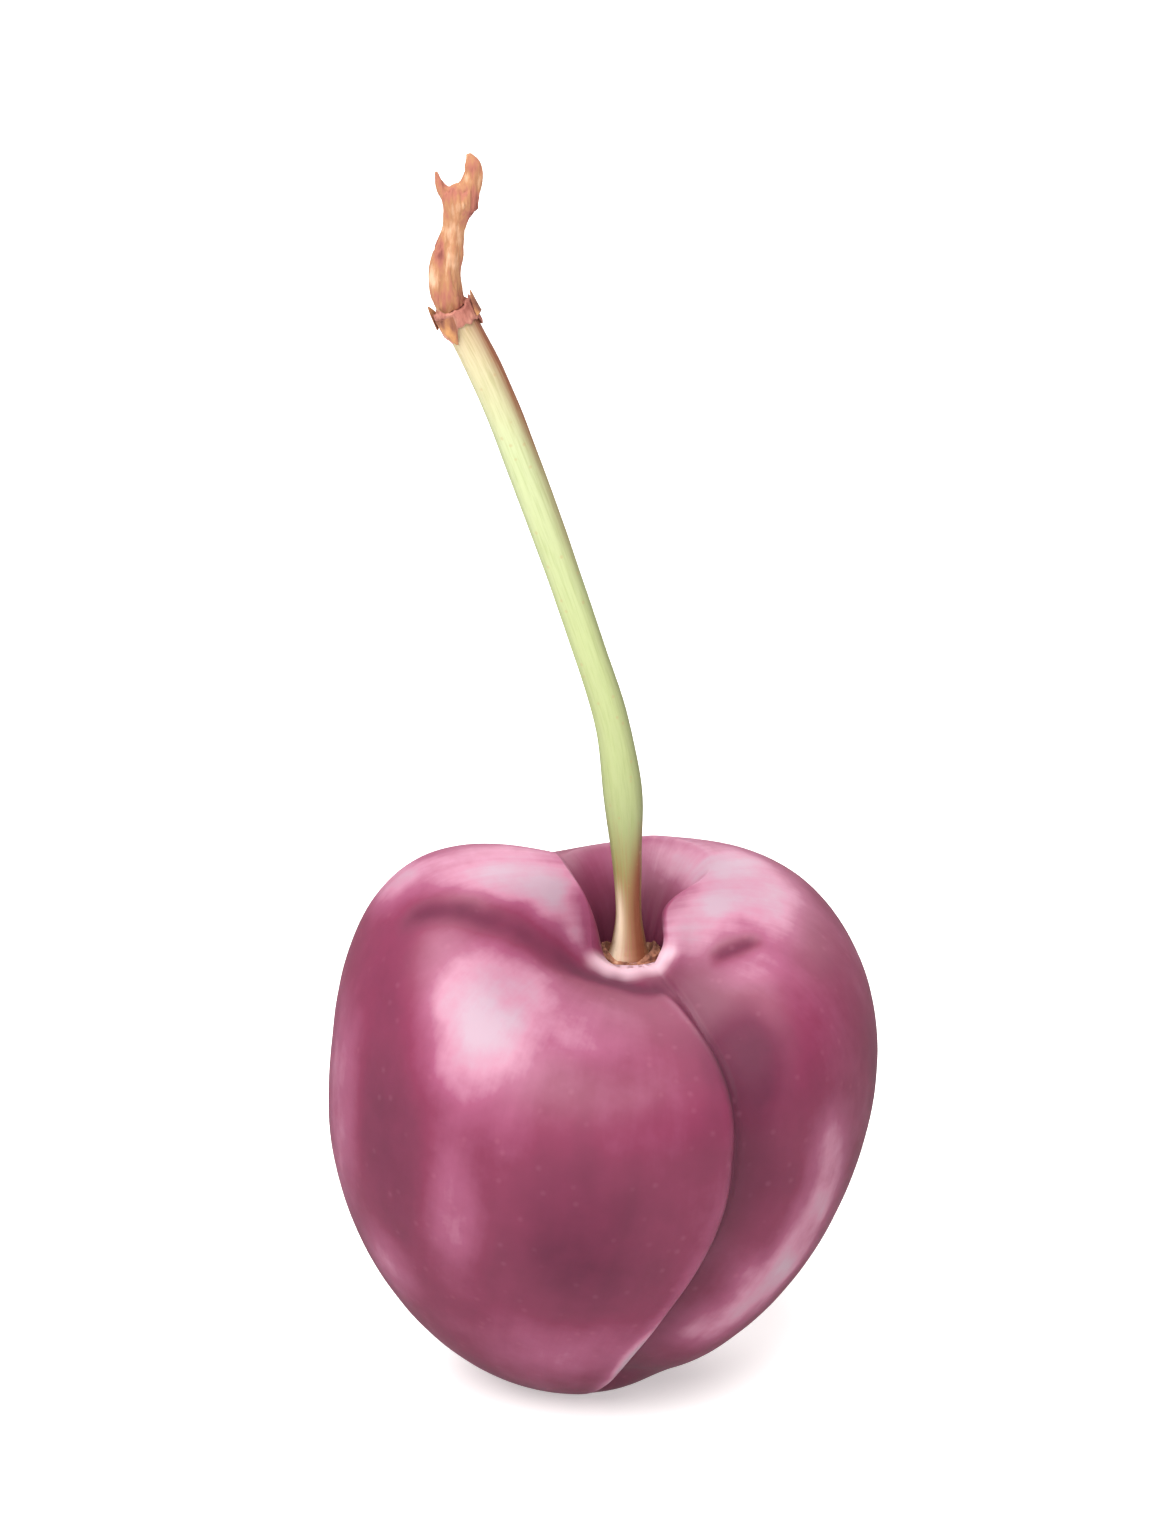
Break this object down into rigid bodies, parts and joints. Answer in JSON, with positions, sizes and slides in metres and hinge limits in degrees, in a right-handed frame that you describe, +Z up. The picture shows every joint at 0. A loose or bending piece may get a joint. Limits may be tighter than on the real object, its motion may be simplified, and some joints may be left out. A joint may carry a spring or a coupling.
{
  "type": "cherry",
  "caption": "Ripe sweet cherry with a deep stem pit and a suture groove, on its curved stem with a torn bark strip at the end.",
  "frame": {"origin": "middle of the small flat spot at the blossom end, which the cherry stands on", "axes": "+Z up from the flat spot towards the stem; the stem leans towards -X; the suture groove faces between -Y and +X"},
  "size_m": [0.026, 0.0253, 0.0604],
  "materials": {
    "cherry_skin": "waxy glossy skin, plum crimson with fine pale dots",
    "green_stem": "satin green stem, browner at both ends",
    "dry_scale": "dry matt brown",
    "spur_bark": "dry matt tan bark with lengthwise ridges"
  },
  "bodies": {
    "root": {"fruit": "cherry_skin", "stem": "green_stem", "stem_foot_ring": "dry_scale", "stem_collar": "dry_scale", "spur_bark": "spur_bark", "bud_scale_1": "dry_scale", "bud_scale_2": "dry_scale", "bud_scale_3": "dry_scale"}
  },
  "joints": []
}
